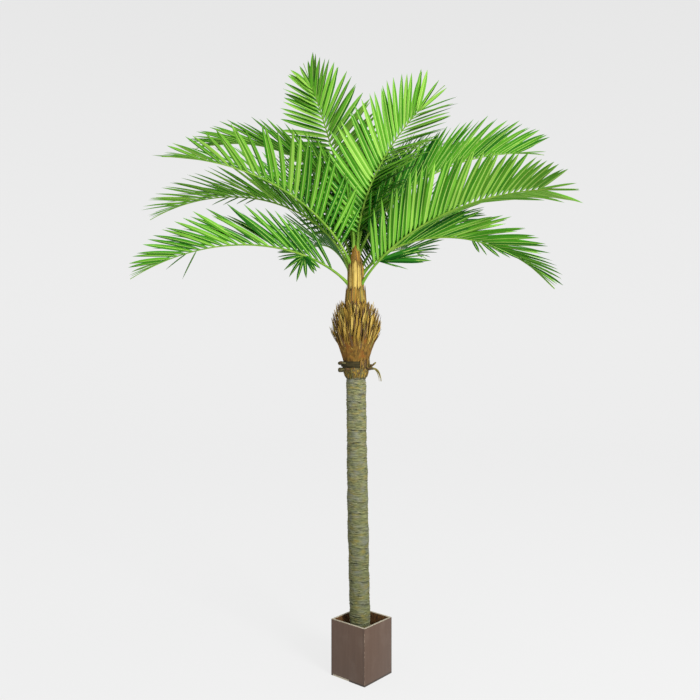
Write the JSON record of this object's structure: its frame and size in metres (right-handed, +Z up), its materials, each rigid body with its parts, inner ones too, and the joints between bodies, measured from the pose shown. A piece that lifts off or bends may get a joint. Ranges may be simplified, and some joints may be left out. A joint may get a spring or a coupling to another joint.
{
  "type": "artificial majesty palm",
  "caption": "Tall artificial majesty palm with a ringed trunk, a bulb of old leaf bases and arching feather fronds, standing in a square brown planter box.",
  "frame": {"origin": "centre of the planter box's underside", "axes": "+Z up along the trunk; X and Y square to the planter box's faces"},
  "size_m": [2.0345, 1.9664, 3.0872],
  "materials": {
    "planter_board": "brown laminate on board, satin, worn at its lower edge",
    "planter_fill": "rough hard fill",
    "trunk_bark": "matt grey green bark with horizontal rings",
    "collar_fibre": "matt loose dark fibre",
    "boot_fibre": "matt golden brown fibre and stubs",
    "column_fibre": "matt golden brown leaf bases",
    "frond_leaf": "bright green, slightly glossy leaflets"
  },
  "bodies": {
    "root": {"planter_box": "planter_board", "planter_fill": "planter_fill", "trunk": "trunk_bark", "fibre_collar": "collar_fibre", "crown_boot": "boot_fibre", "crown_column": "column_fibre", "frond_low_left": "frond_leaf", "frond_middle_left": "frond_leaf", "frond_upper_left": "frond_leaf", "frond_top_left": "frond_leaf", "frond_front": "frond_leaf", "frond_upper_right": "frond_leaf", "frond_middle_right": "frond_leaf", "frond_low_right": "frond_leaf", "frond_upper_back_left": "frond_leaf", "frond_low_back_right": "frond_leaf", "frond_low_back_left": "frond_leaf", "frond_middle_back_left": "frond_leaf", "frond_middle_back": "frond_leaf", "frond_middle_back_right": "frond_leaf", "frond_upper_back_right": "frond_leaf", "frond_upper_back": "frond_leaf"}
  },
  "joints": []
}
